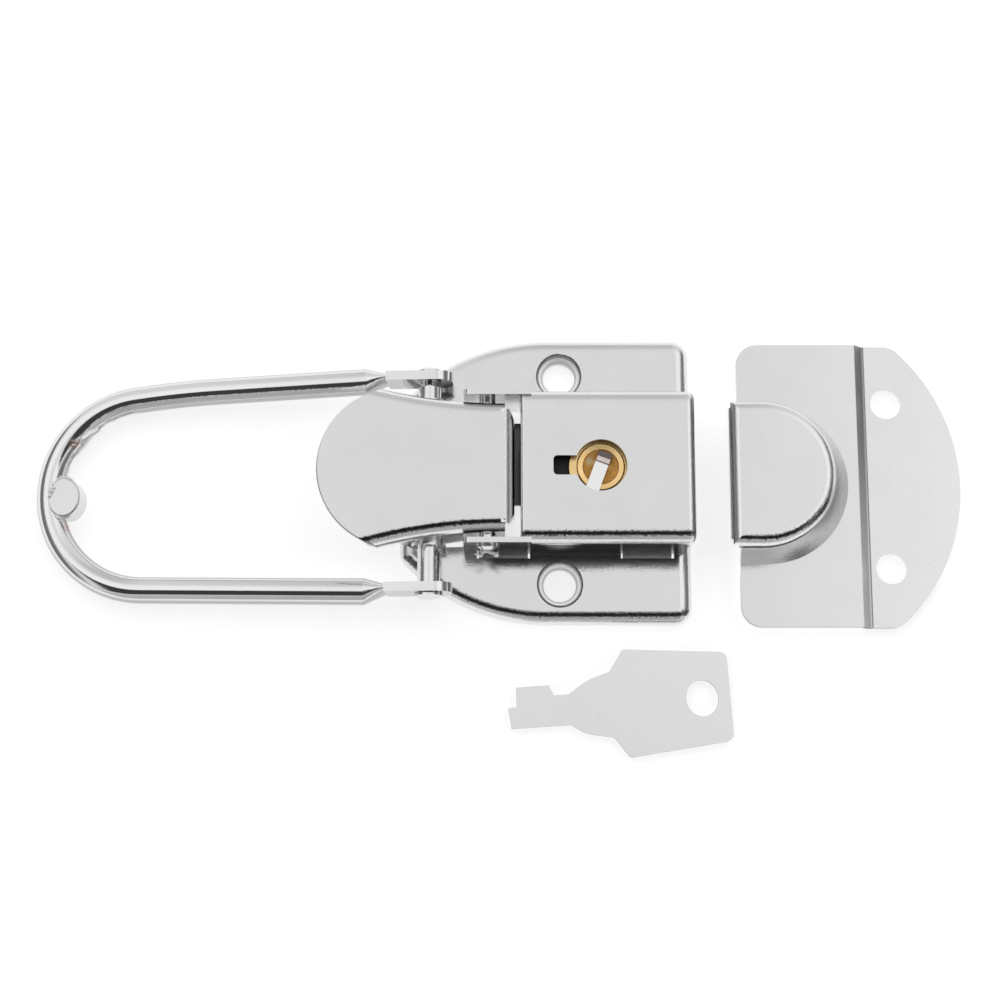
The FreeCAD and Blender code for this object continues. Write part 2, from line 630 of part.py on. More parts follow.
def make_lever():
    """Folded lever: round thumb tab, channel with side walls, and a tail folded down at the end."""
    top = HOUSING_TOP
    sheet = LEVER_SHEET
    outer = lever_channel(0, 0, top, LEVER_BEND)
    inner = lever_channel(sheet, MARGIN, top - sheet, LEVER_BEND - sheet)
    channel = outer.cut(inner).common(lever_side_profile()).common(lever_end_region())
    disc = rod_z(TAB_CENTRE_X, TAB_CENTRE_Y, top - sheet, top, 2 * TAB_RADIUS)
    keep = block(TAB_CENTRE_X - 2 * TAB_RADIUS, LEVER_FLANGE_END, -2 * TAB_RADIUS, 2 * TAB_RADIUS, 0, top)
    lever = channel.fuse(disc.common(keep)).fuse(lever_tail())
    for side in (1, -1):
        wall = lever_half_width(AXLE_X)
        seat = side * (wall - sheet / 2)
        burr = Part.makeCylinder(BURR_RADIUS, sheet / 2 + BURR_HEIGHT,
                                 Vector(AXLE_X, seat, AXLE_Z), Vector(0, side, 0))
        lever = lever.fuse(burr)
    far = 2 * TAB_RADIUS
    lever = lever.cut(rod_y(HINGE_X, HINGE_Z, -far, far, HINGE_PIN + 2 * RUNNING_FIT))
    lever = lever.cut(rod_y(AXLE_X, AXLE_Z, -far, far, AXLE + 2 * RUNNING_FIT))
    return lever.removeSplitter()


def make_bail_axle():
    """Shouldered rivet: thick between the bail's ears, thinner through them, headed outside."""
    front = EAR_SHOULDER_FRONT
    back = EAR_SHOULDER_BACK
    ear_span = EAR_THICKNESS + 2 * RUNNING_FIT
    body = rod_y(AXLE_X, AXLE_Z, front, back, AXLE)
    back_seat = back + AXLE_END_PLAY + ear_span
    front_seat = front - ear_span
    tenon = rod_y(AXLE_X, AXLE_Z, front_seat, back_seat, AXLE_TENON)
    heads = [domed_head(AXLE_X, AXLE_Z, back_seat, 1, AXLE_HEAD, AXLE_HEAD_HEIGHT),
             domed_head(AXLE_X, AXLE_Z, front_seat, -1, AXLE_HEAD, AXLE_HEAD_HEIGHT)]
    return joined([body, tenon] + heads)


def bail_placement(shape):
    """Move a shape from the bail's own frame, axle at the origin, to its place at rest."""
    shape.rotate(Vector(0, 0, 0), Vector(0, 1, 0), -BAIL_DROOP)
    shape.translate(Vector(AXLE_X, 0, AXLE_Z))
    return shape


def bail_ear(middle_y, wire_end, heading):
    """Flattened end of the wire, with the tapered stretch that joins it to the round wire's end."""
    tall = EAR_HALF_HEIGHT
    thick = EAR_THICKNESS
    blade = rounded_loop([(-EAR_ROOT, -tall, 0), (EAR_END, -tall, EAR_ROUND),
                          (EAR_END, tall, EAR_ROUND), (-EAR_ROOT, tall, 0)])
    ear = Part.Face(blade).extrude(Vector(0, 0, thick))
    ear.rotate(Vector(0, 0, 0), Vector(1, 0, 0), 90)
    ear.translate(Vector(0, middle_y + thick / 2, 0))
    round_end = Part.Wire(Part.Circle(wire_end, heading, WIRE / 2).toShape())
    root = -EAR_ROOT + EAR_OVERLAP
    flat = Part.Ellipse(Vector(root, middle_y, tall - SLIDE_GAP),
                        Vector(root, middle_y + thick / 2 - RUNNING_FIT, 0),
                        Vector(root, middle_y, 0)).toShape()
    taper = Part.makeLoft([round_end, Part.Wire(flat)], True, True)
    hole = rod_y(0, 0, middle_y - thick, middle_y + thick, AXLE_TENON + 2 * RUNNING_FIT)
    return ear.fuse(taper).cut(hole)


def bail_path():
    """Centre line of the round wire: back arm, shoulder, end loop, front arm, all tangent."""
    centre = Vector(LOOP_CENTRE_X, LOOP_SHIFT + AXLE_SHIFT, 0)

    def on_loop(degrees):
        angle = math.radians(degrees)
        return centre + Vector(LOOP_RADIUS * math.cos(angle), LOOP_RADIUS * math.sin(angle), 0)

    steep = math.radians(BACK_SHOULDER_ANGLE)
    slight = math.radians(BACK_ARM_ANGLE)
    loop_start = on_loop(90 + BACK_SHOULDER_ANGLE)

    def on_shoulder(angle):
        dx = BACK_SHOULDER_RADIUS * (math.sin(steep) - math.sin(angle))
        dy = BACK_SHOULDER_RADIUS * (math.cos(angle) - math.cos(steep))
        return loop_start + Vector(dx, dy, 0)

    shoulder = on_shoulder(slight)
    run = -WIRE_START - shoulder.x
    arm_start = shoulder + Vector(run, run * math.tan(slight), 0)
    loop_end = on_loop(270 - FRONT_ARM_ANGLE)
    run = -WIRE_START - loop_end.x
    arm_end = loop_end - Vector(-run, run * math.tan(math.radians(FRONT_ARM_ANGLE)), 0)
    edges = [
        Part.LineSegment(arm_start, shoulder).toShape(),
        Part.Arc(shoulder, on_shoulder((slight + steep) / 2), loop_start).toShape(),
        Part.Arc(loop_start, on_loop(180), loop_end).toShape(),
        Part.LineSegment(loop_end, arm_end).toShape(),
    ]
    return Part.Wire(edges), arm_start, arm_end


def bail_in_own_frame():
    """The bent wire and its two ears, with the axle at the origin and the arms towards -X."""
    path, arm_start, arm_end = bail_path()
    heading = path.Edges[0].tangentAt(path.Edges[0].FirstParameter)
    last = path.Edges[-1]
    end_heading = last.tangentAt(last.LastParameter)
    section = Part.Wire(Part.Circle(arm_start, heading, WIRE / 2).toShape())
    wire = path.makePipeShell([section], True, True)
    back_middle = EAR_SHOULDER_BACK + AXLE_END_PLAY + RUNNING_FIT + EAR_THICKNESS / 2
    front_middle = EAR_SHOULDER_FRONT - RUNNING_FIT - EAR_THICKNESS / 2
    back_ear = bail_ear(back_middle, arm_start, -heading)
    front_ear = bail_ear(front_middle, arm_end, end_heading)
    return joined([wire, back_ear, front_ear])


def stud_in_own_frame(bail):
    """Oval stud on the inside of the loop's end, cut to sit against the wire."""
    centre = Vector(-LOOP_END + STUD_FROM_END, LOOP_SHIFT + AXLE_SHIFT + STUD_SHIFT, -STUD_HEIGHT / 2)
    across = centre + Vector(0, STUD_WIDTH / 2, 0)
    along = centre + Vector(-STUD_LENGTH / 2, 0, 0)
    oval = Part.Wire(Part.Ellipse(across, along, centre).toShape())
    stud = slab(oval, STUD_HEIGHT)
    stud = stud.makeFillet(STUD_EDGE, edges_at_height(stud, STUD_HEIGHT / 2))
    stud = stud.cut(bail)
    return max(stud.Solids, key=lambda solid: solid.Volume)


def make_lock_plug():
    """Brass plug: flange, raised ring round a dish, round body and a stem for the cam."""
    axis = Vector(0, 0, 1)
    plug = rod_z(PLUG_X, 0, PLUG_BOTTOM, PLUG_RING_TOP, PLUG_BODY)
    plug = plug.makeFillet(RING_ROUND, edges_at_height(plug, PLUG_RING_TOP))
    flange = rod_z(PLUG_X, 0, PLUG_FLANGE_SEAT, PLUG_FLANGE_TOP, PLUG_FLANGE)
    stem = rod_z(PLUG_X, 0, CAM_UNDERSIDE + RUNNING_FIT, PLUG_BOTTOM, STEM)
    mouth = PLUG_RING_BORE / 2
    bowl = (mouth ** 2 + DISH_DEPTH ** 2) / (2 * DISH_DEPTH)
    dish = Part.makeSphere(bowl, Vector(PLUG_X, 0, PLUG_RING_TOP - DISH_DEPTH + bowl))
    lid = Part.makeCone(mouth, mouth + 2 * RING_CHAMFER_RUN, 2 * RING_CHAMFER,
                        Vector(PLUG_X, 0, PLUG_RING_TOP - RING_CHAMFER), axis)
    floor = PLUG_RING_TOP - DISH_DEPTH
    keyway = block(PLUG_X - KEYWAY_LENGTH / 2, PLUG_X + KEYWAY_LENGTH / 2,
                   -KEYWAY_HALF, KEYWAY_HALF, floor - KEYWAY_DEPTH, floor + KEYWAY_DEPTH)
    keyway.rotate(Vector(PLUG_X, 0, 0), axis, BAR_ANGLE)
    solid = joined([plug, flange, stem])
    return solid.cut(dish).cut(lid).cut(keyway)


def make_key_bar():
    """Folded steel strip: over the ring at one side, doubled down into the keyway, a leaf in the dish."""
    top = PLUG_RING_TOP + SEAT_GAP
    half = BAR_WIDTH / 2
    sheet = BAR_SHEET
    near, far = BAR_FOLD, BAR_FOLD - BAR_FOLD_GAP
    points = [(BAR_REACH, 0), (BAR_REACH, sheet), (near, sheet), (near, sheet - BAR_DROP),
              (far, sheet - BAR_DROP), (far, sheet - BAR_LEAF_DIP), (BAR_LEAF_BEND, sheet - BAR_LEAF_DIP),
              (BAR_LEAF_END, sheet - BAR_LEAF_END_DIP), (BAR_LEAF_END, -BAR_LEAF_END_DIP),
              (BAR_LEAF_BEND, -BAR_LEAF_DIP), (far - sheet, -BAR_LEAF_DIP), (far - sheet, -BAR_DROP),
              (near + sheet, -BAR_DROP), (near + sheet, 0)]
    loop = [Vector(PLUG_X + x, -half, top + z) for x, z in points]
    bar = Part.Face(Part.makePolygon(loop + loop[:1])).extrude(Vector(0, BAR_WIDTH, 0))
    bar.rotate(Vector(PLUG_X, 0, 0), Vector(0, 0, 1), BAR_ANGLE)
    return bar


def make_plug_clip():
    """Washer pressed onto the plug's body under the lock plate."""
    washer = rod_z(PLUG_X, 0, CLIP_TOP - CLIP_SHEET, CLIP_TOP, CLIP_DIAMETER)
    return washer.cut(rod_z(PLUG_X, 0, 0, HOUSING_TOP, PLUG_BODY + 2 * SEAT_GAP))


def make_lock_cam():
    """Disc on the plug's stem with an off-centre pin that reaches into the bolt."""
    disc = rod_z(PLUG_X, 0, CAM_UNDERSIDE, CAM_TOP, CAM_DIAMETER)
    disc = disc.cut(rod_z(PLUG_X, 0, 0, HOUSING_TOP, STEM + 2 * SEAT_GAP))
    pin = rod_z(PLUG_X + CAM_PIN_X, CAM_PIN_Y, BOLT_BOTTOM + SLIDE_GAP, CAM_UNDERSIDE + SEAT_GAP, CAM_PIN)
    return joined([disc, pin])


def make_lock_plate():
    """Bridge that stands on the base inside the housing and carries the plug."""
    half = HOUSING_INNER_HALF - RUNNING_FIT
    foot = BASE_HEIGHT + SEAT_GAP
    outer = block(PLATE_LEFT, PLATE_RIGHT, -half, half, foot, PLATE_TOP)
    bends = [e for e in edges_at_height(outer, PLATE_TOP) if e.BoundBox.XLength > MARGIN]
    outer = outer.makeFillet(PLATE_BEND, bends)
    inner = block(PLATE_LEFT - MARGIN, PLATE_RIGHT + MARGIN, -half + PLATE_SHEET, half - PLATE_SHEET,
                  0, PLATE_UNDERSIDE)
    bridge = outer.cut(inner)
    return bridge.cut(rod_z(PLUG_X, 0, 0, HOUSING_TOP, PLUG_BODY + 2 * RUNNING_FIT))


def make_lock_bolt():
    """Flat bolt with two guide slots and a cross slot for the cam's pin."""
    half = BOLT_HALF_WIDTH
    nose = BOLT_NOSE_CHAMFER
    outline = rounded_loop([
        (BOLT_TIP + nose, -half, 0), (BOLT_END, -half, BOLT_CORNER), (BOLT_END, half, BOLT_CORNER),
        (BOLT_TIP + nose, half, 0), (BOLT_TIP, half - nose, 0), (BOLT_TIP, -half + nose, 0)],
        BOLT_BOTTOM)
    bolt = slab(outline, BOLT_SHEET)
    reach = RIVET / 2 + 2 * RUNNING_FIT
    for x in (LEFT_RIVET_X, RIGHT_RIVET_X):
        low = BOLT_BOTTOM - MARGIN
        high = BOLT_TOP + MARGIN
        slot = rod_z(x, 0, low, high, 2 * reach).fuse(rod_z(x + BOLT_STROKE, 0, low, high, 2 * reach))
        slot = slot.fuse(block(x, x + BOLT_STROKE, -reach, reach, low, high))
        bolt = bolt.cut(slot)
    pin_room = CAM_PIN / 2 + CAM_PIN_ROOM
    cross = block(PLUG_X + CAM_PIN_X - pin_room, PLUG_X + CAM_PIN_X + pin_room,
                  CAM_PIN_Y - pin_room, CAM_THROW + pin_room, BOLT_BOTTOM - MARGIN, BOLT_TOP + MARGIN)
    bolt = bolt.cut(cross)
    return bolt


def guide_rivet(x, y, seat):
    """Rivet through the base: clinched under the sheet, headed above the piece that it holds."""
    shank = rod_z(x, y, BASE_UNDERSIDE - SEAT_GAP, seat, RIVET)
    head = rod_z(x, y, seat, seat + RIVET_HEAD_HEIGHT, RIVET_HEAD)
    head = head.makeFillet(RIVET_HEAD_ROUND, edges_at_height(head, seat + RIVET_HEAD_HEIGHT))
    clinch_top = BASE_UNDERSIDE - SEAT_GAP
    clinch = rod_z(x, y, clinch_top - RIVET_CLINCH_HEIGHT, clinch_top, RIVET_CLINCH)
    return joined([shank, head, clinch])


def spring_foot_centre():
    """Centre of the bolt spring's foot, in front of the bolt."""
    front = BOLT_HALF_WIDTH + SLIDE_GAP + SPRING_SHEET
    return SPRING_FOOT_X, -front - SPRING_FOOT / 2


def make_bolt_spring():
    """Leaf that bears on the bolt's front edge and holds it where the key leaves it."""
    foot_x, foot_y = spring_foot_centre()
    low = BOLT_BOTTOM
    near = -BOLT_HALF_WIDTH - SLIDE_GAP
    half = SPRING_FOOT / 2
    leaf = block(foot_x + half - SPRING_REACH, foot_x + half, near - SPRING_SHEET, near,
                 low, low + SPRING_HEIGHT)
    foot = block(foot_x - half, foot_x + half, foot_y - half, near, low, low + SPRING_SHEET)
    spring = joined([leaf, foot])
    return spring.cut(rod_z(foot_x, foot_y, 0, HOUSING_TOP, RIVET + 2 * SEAT_GAP))


def strike_outline(z):
    """Outer edge of the strike plate: straight left end, one large arc at the right."""
    half = STRIKE_HALF_WIDTH
    corner_x = STRIKE_ARC_CENTRE + math.sqrt(STRIKE_ARC_RADIUS ** 2 - half ** 2)
    y = STRIKE_SHIFT
    corners = [Vector(STRIKE_LEFT, y - half, z), Vector(corner_x, y - half, z),
               Vector(corner_x, y + half, z), Vector(STRIKE_LEFT, y + half, z)]
    far = Vector(STRIKE_ARC_CENTRE + STRIKE_ARC_RADIUS, y, z)
    return Part.Wire([
        Part.LineSegment(corners[0], corners[1]).toShape(),
        Part.Arc(corners[1], far, corners[2]).toShape(),
        Part.LineSegment(corners[2], corners[3]).toShape(),
        Part.LineSegment(corners[3], corners[0]).toShape(),
    ])


def strike_section():
    """Section of the strike plate along X: raised left part, joggle, and the screw flange."""
    end = STRIKE_ARC_CENTRE + STRIKE_ARC_RADIUS + MARGIN
    start = STRIKE_LEFT - MARGIN
    turn = STRIKE_JOGGLE + JOGGLE_RUN
    sheet = STRIKE_SHEET
    points = [(start, STRIKE_LIFT), (STRIKE_JOGGLE - JOGGLE_THIN, STRIKE_LIFT),
              (turn - JOGGLE_THIN, 0), (end, 0),
              (end, sheet), (turn, sheet), (STRIKE_JOGGLE, STRIKE_LIFT + sheet),
              (start, STRIKE_LIFT + sheet)]
    reach = STRIKE_HALF_WIDTH + MARGIN
    loop = [Vector(x, STRIKE_SHIFT - reach, z) for x, z in points]
    return Part.Face(Part.makePolygon(loop + loop[:1])).extrude(Vector(0, 2 * reach, 0))


def d_loop(left, centre_x, radius, z, y=STRIKE_SHIFT):
    """D-shaped wire: straight at the left, a half circle at the right."""
    back = Vector(centre_x, y + radius, z)
    front = Vector(centre_x, y - radius, z)
    return Part.Wire([
        Part.LineSegment(Vector(left, y - radius, z), front).toShape(),
        Part.Arc(front, Vector(centre_x + radius, y, z), back).toShape(),
        Part.LineSegment(back, Vector(left, y + radius, z)).toShape(),
        Part.LineSegment(Vector(left, y + radius, z), Vector(left, y - radius, z)).toShape(),
    ])


def neck_solid(inset, left, bottom, top):
    """Flared D-shaped neck, drawn in by inset: wide at its foot and upright under the cap."""
    plate_top = STRIKE_LIFT + STRIKE_SHEET
    tall = CAP_TOP - CAP_SHEET - plate_top
    wires = []
    for share in NECK_STATIONS:
        spread = max(0.0, 1.0 - share / FLARE_SHARE) ** FLARE_POWER
        radius = NECK_RADIUS + NECK_FLARE * spread - inset
        centre = NECK_CENTRE + NECK_LEAN * spread
        z = plate_top + tall * share
        wires.append(d_loop(left, centre, radius, bottom + (top - bottom) * (z - plate_top) / tall))
    return Part.makeLoft(wires, True, False)


def make_strike_plate():
    """Pressed strike: raised plate, joggled screw flange, and a D-shaped neck open at the left."""
    plate_top = STRIKE_LIFT + STRIKE_SHEET
    neck_top = CAP_TOP - CAP_SHEET - SEAT_GAP
    blank = slab(strike_outline(-MARGIN), 2 * MARGIN + CAP_TOP)
    blank = blank.makeFillet(STRIKE_CORNER, upright_edges(blank, STRIKE_LEFT - MARGIN, STRIKE_ARC_CENTRE * 2))
    plate = strike_section().common(blank)
    outer = neck_solid(0, STRIKE_LEFT, plate_top, neck_top)
    foot = slab(d_loop(STRIKE_LEFT, NECK_CENTRE + NECK_LEAN, NECK_RADIUS + NECK_FLARE - STRIKE_SHEET,
                       STRIKE_LIFT), STRIKE_SHEET)
    inner = neck_solid(STRIKE_SHEET, STRIKE_LEFT - MARGIN, STRIKE_LIFT, neck_top - STRIKE_SHEET)
    plate = joined([plate, foot, outer]).cut(inner)
    below = slab(d_loop(STRIKE_LEFT - MARGIN, NECK_CENTRE + NECK_LEAN,
                        NECK_RADIUS + NECK_FLARE - STRIKE_SHEET, -MARGIN), STRIKE_LIFT + MARGIN)
    plate = plate.cut(below)
    for side in (1, -1):
        y = STRIKE_SHIFT + side * STRIKE_HOLE_SPACING / 2
        plate = plate.cut(rod_z(STRIKE_HOLE_X, y, -MARGIN, STRIKE_SHEET + MARGIN, STRIKE_HOLE))
    return plate.removeSplitter()


def make_strike_cap():
    """D-shaped tray over the neck: its turned-down rim is the lip that the bail pulls under."""
    bottom = CAP_TOP - CAP_RIM
    middle = STRIKE_SHIFT + CAP_SHIFT
    outer = slab(d_loop(CAP_LEFT, CAP_CENTRE, CAP_RADIUS, bottom, middle), CAP_RIM)
    outer = outer.makeFillet(CAP_BEND, edges_at_height(outer, CAP_TOP))
    cavity = d_loop(CAP_LEFT + CAP_SHEET, CAP_CENTRE, CAP_RADIUS - CAP_SHEET, bottom, middle)
    inner = slab(cavity, CAP_RIM - CAP_SHEET)
    cap = outer.cut(inner)
    for side in (1, -1):
        y = middle + side * CAP_RADIUS
        low, high = sorted((y + side * MARGIN, y - side * CAP_NOTCH))
        notch = block(CAP_LEFT - MARGIN, CAP_LEFT + CAP_NOTCH, low, high, bottom - MARGIN,
                      CAP_TOP - CAP_BEND * CAP_NOTCH_SHARE)
        cap = cap.cut(notch)
    return cap


def make_key():
    """Flat key: tapered bow with a ring hole, a curved neck and a stepped bit."""
    slope = math.tan(math.radians(KEY_BOW_TAPER))
    end_half = KEY_BOW_HALF - slope * (KEY_BOW_END - KEY_BOW_START)
    neck = KEY_NECK_X
    top_run, top_drop, top_radius = KEY_THROAT_TOP
    low_run, low_drop, low_radius = KEY_THROAT_BOTTOM
    nick = KEY_BIT_CORNER
    outline = [
        (KEY_BOW_END, -end_half, KEY_END_CORNER), (KEY_BOW_END, end_half, KEY_END_CORNER),
        (KEY_BOW_START, KEY_BOW_HALF, KEY_BOW_CORNER), (neck, KEY_NECK_HALF, KEY_NECK_CORNER),
        (neck - top_run, KEY_NECK_HALF - top_drop, top_radius),
        (KEY_SHANK_X, KEY_SHANK_TOP, KEY_BIT_SLOPE),
        (KEY_BIT_X + KEY_BIT_SLOPE, KEY_SHANK_TOP, 0), (KEY_BIT_X - KEY_BIT_SLOPE, KEY_BIT_TOP, 0),
        (KEY_STEP_X + KEY_STEP_SLOPE, KEY_BIT_TOP, nick), (KEY_STEP_X, KEY_STEP_Y, 0),
        (KEY_TIP - KEY_STEP_SLOPE, KEY_STEP_Y, nick), (KEY_TIP + nick, KEY_SHANK_BOTTOM, nick),
        (KEY_SHANK_X, KEY_SHANK_BOTTOM, KEY_NECK_CORNER),
        (neck - low_run, -KEY_NECK_HALF + low_drop, low_radius),
        (neck, -KEY_NECK_HALF, KEY_NECK_CORNER), (KEY_BOW_START, -KEY_BOW_HALF, KEY_BOW_CORNER)]
    key = slab(rounded_loop(outline), KEY_SHEET)
    upright = Part.Ellipse(Vector(0, KEY_HOLE_HEIGHT / 2, -MARGIN), Vector(-KEY_HOLE_WIDTH / 2, 0, -MARGIN),
                           Vector(0, 0, -MARGIN)).toShape()
    key = key.cut(slab(Part.Wire(upright), KEY_SHEET + 2 * MARGIN))
    key.rotate(Vector(0, 0, 0), Vector(0, 0, 1), KEY_ANGLE)
    key.translate(Vector(KEY_HOLE_X, KEY_HOLE_Y, 0))
    return key


def make_all():
    """Every node of the latch by name."""
    bail = bail_in_own_frame()
    stud = stud_in_own_frame(bail)
    foot_x, foot_y = spring_foot_centre()
    return {
        "base_plate": make_base_plate(),
        "lock_housing": make_lock_housing(),
        "hinge_pin": make_hinge_pin(),
        "lever": make_lever(),
        "bail_axle": make_bail_axle(),
        "bail": bail_placement(bail),
        "bail_stud": bail_placement(stud),
        "lock_plug": make_lock_plug(),
        "key_bar": make_key_bar(),
        "plug_clip": make_plug_clip(),
        "lock_cam": make_lock_cam(),
        "lock_plate": make_lock_plate(),
        "lock_bolt": make_lock_bolt(),
        "guide_rivet_left": guide_rivet(LEFT_RIVET_X, 0, BOLT_TOP + SLIDE_GAP),
        "guide_rivet_right": guide_rivet(RIGHT_RIVET_X, 0, BOLT_TOP + SLIDE_GAP),
        "bolt_spring": make_bolt_spring(),
        "spring_rivet": guide_rivet(foot_x, foot_y, BOLT_BOTTOM + SPRING_SHEET + SEAT_GAP),
        "strike_plate": make_strike_plate(),
        "strike_cap": make_strike_cap(),
        "key": make_key(),
    }


os.makedirs("parts", exist_ok=True)
for node, shape in make_all().items():
    solids = shape.Solids
    if len(solids) != 1 or not shape.isValid():
        print(node, "has", len(solids), "solids, valid:", shape.isValid())
    shape.exportStep("parts/" + node + ".step")
    size = shape.BoundBox
    print("%-18s %8.1f mm3  x %6.1f %6.1f  y %6.1f %6.1f  z %5.1f %5.1f" % (
        node, shape.Volume, size.XMin, size.XMax, size.YMin, size.YMax, size.ZMin, size.ZMax))
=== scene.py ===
import math

import bpy
import numpy as np
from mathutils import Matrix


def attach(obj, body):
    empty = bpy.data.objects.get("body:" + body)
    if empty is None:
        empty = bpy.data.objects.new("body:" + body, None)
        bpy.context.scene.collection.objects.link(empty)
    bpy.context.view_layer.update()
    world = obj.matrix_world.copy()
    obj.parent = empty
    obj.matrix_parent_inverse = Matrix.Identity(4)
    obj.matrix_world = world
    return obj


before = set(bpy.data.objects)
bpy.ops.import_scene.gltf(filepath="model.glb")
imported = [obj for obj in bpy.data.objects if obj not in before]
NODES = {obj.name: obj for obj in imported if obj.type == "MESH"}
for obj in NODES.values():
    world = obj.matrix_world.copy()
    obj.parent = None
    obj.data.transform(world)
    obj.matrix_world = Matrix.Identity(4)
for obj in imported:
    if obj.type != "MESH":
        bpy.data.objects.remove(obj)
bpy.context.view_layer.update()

MM = 0.001
SCENE = bpy.context.scene

# Camera, in millimetres and degrees; the range it sees in metres
LENS = 72.0
SENSOR = 36.0
CAMERA_AT = (-9.77, -61.2, 296.7)
CAMERA_TILT = 11.3
CAMERA_RANGE = (0.01, 50.0)

# Places and sizes on the latch, in millimetres and degrees
AXLE_X = -19.6
AXLE_Z = 6.4
BAIL_DROOP = 4.37
LOOP_CENTRE = (-43.1, -2.4)
LOOP_RADIUS = 14.7
STUD_CENTRE = (-55.2, -3.1)
STUD_HALF = (2.5, 3.05)
SCREW_HOLE_Y = 16.1
SCREW_HOLE_RADIUS = 2.45
DIMPLE_RADIUS = 3.4
BASE_TOP_Z = 2.5
WINDOW_RIGHT_X = -13.6
WINDOW_HALF_Y = 10.4
TAB_CENTRE = (-24.0, -0.35)
TAB_RADIUS = 12.0
LEVER_SIDE_END_X = -8.3
HOUSING_LEFT_X = -6.0
HOUSING_RIGHT_X = 19.7
HOUSING_FRONT_Y = -11.5
HOUSING_TOP_Z = 13.0
PLUG_X = 5.8
BAR_ANGLE = -110.6

# Where marks, painted shade and painted light lie, and the run of the peened curl, in millimetres
WELD_COPPER_AT = (-73.6, 5.3)
STUD_COPPER_AT = (-73.9, -7.2)
TAIL_SHADE_TOP_Z = 11.2
DISH_TINT_RADIUS = 2.45
DISH_HIGHLIGHT_AT = (4.2, 1.0)
DULL_SHADED_STRIP_X = (45.425, 46.875)
DARK_LINE_X = (46.9, 47.1)
PEENING_X = (-12.8, -8.9)
PEENING_Y = -12.5
PEENING_Z = 9.4

# Plating of the pressed sheets: colour, roughness, and depth and size of its orange peel in millimetres
SHEET = (0.80, 0.80, 0.805)
SHEET_ROUGHNESS = 0.10
PEEL = 0.03
PEEL_SIZE = 0.24

# Copper under the plating, bare and thinly covered, and the painted pinkish brass reflection on the key
# bar's leaf, where darkest and lightest
COPPER = (0.36, 0.15, 0.10, 1.0)
THIN_COPPER = (0.34, 0.20, 0.18, 1.0)
DARK_LEAF = (0.62, 0.50, 0.47, 1.0)
LIGHT_LEAF = (0.86, 0.78, 0.76, 1.0)

# Brass: plain, in its redder patches, in the dish's painted light and in the dish's painted highlight
BRASS = (1.0, 0.73, 0.35, 1.0)
RED_BRASS = (1.0, 0.66, 0.28, 1.0)
DISH_BRASS = (1.0, 0.58, 0.14, 1.0)
HIGHLIGHT_BRASS = (1.0, 0.92, 0.62, 1.0)

# Blackened lock steel, where darkest and lightest
DARK_LOCK_STEEL = (0.030, 0.028, 0.027, 1.0)
LIGHT_LOCK_STEEL = (0.055, 0.052, 0.05, 1.0)

# White floor: half side in metres, drop below the mounting plane in millimetres, colour and glow
FLOOR_HALF = 20.0
FLOOR_DROP = 0.2
FLOOR_COLOUR = 0.7
FLOOR_GLOW = 0.66

# Levels of the studio dome
OVERHEAD_LEVEL = 0.86
SIDE_GAIN = 0.20
BACK_LOSS = 0.25
GAP_DEPTH = 0.97
LOW_FRONT_LOSS = 0.5
DARKEST_LEVEL = 0.05
HORIZON_LEVEL = 0.8


class Socket:
    """A value in a shader: the usual operators on it add Math nodes."""

    def __init__(self, tree, link):
        self.tree = tree
        self.link = link

    def _math(self, operation, *values):
        return self.tree.node("ShaderNodeMath", {"operation": operation}, dict(enumerate(values)))

    def __add__(self, other):
        return self._math("ADD", self, other)

    def __sub__(self, other):
        return self._math("SUBTRACT", self, other)

    def __mul__(self, other):
        return self._math("MULTIPLY", self, other)

    def __pow__(self, other):
        return self._math("POWER", self, other)

    def __radd__(self, other):
        return self._math("ADD", other, self)

    def __rsub__(self, other):
        return self._math("SUBTRACT", other, self)

    def __rmul__(self, other):
        return self._math("MULTIPLY", other, self)

    def __neg__(self):
        return self._math("MULTIPLY", self, -1.0)

    def __abs__(self):
        return self._math("ABSOLUTE", self)

    def high(self, other):
        """The greater of two values."""
        return self._math("MAXIMUM", self, other)

    def step(self, start, end):
        """0 below start, 1 above end, smooth between; end may lie below start."""
        settings = {"interpolation_type": "SMOOTHSTEP"}
        low, high = (start, end) if start < end else (end, start)
        ramp = self.tree.node("ShaderNodeMapRange", settings, {0: self, 1: low, 2: high, 3: 0.0, 4: 1.0})
        return ramp if start < end else 1.0 - ramp


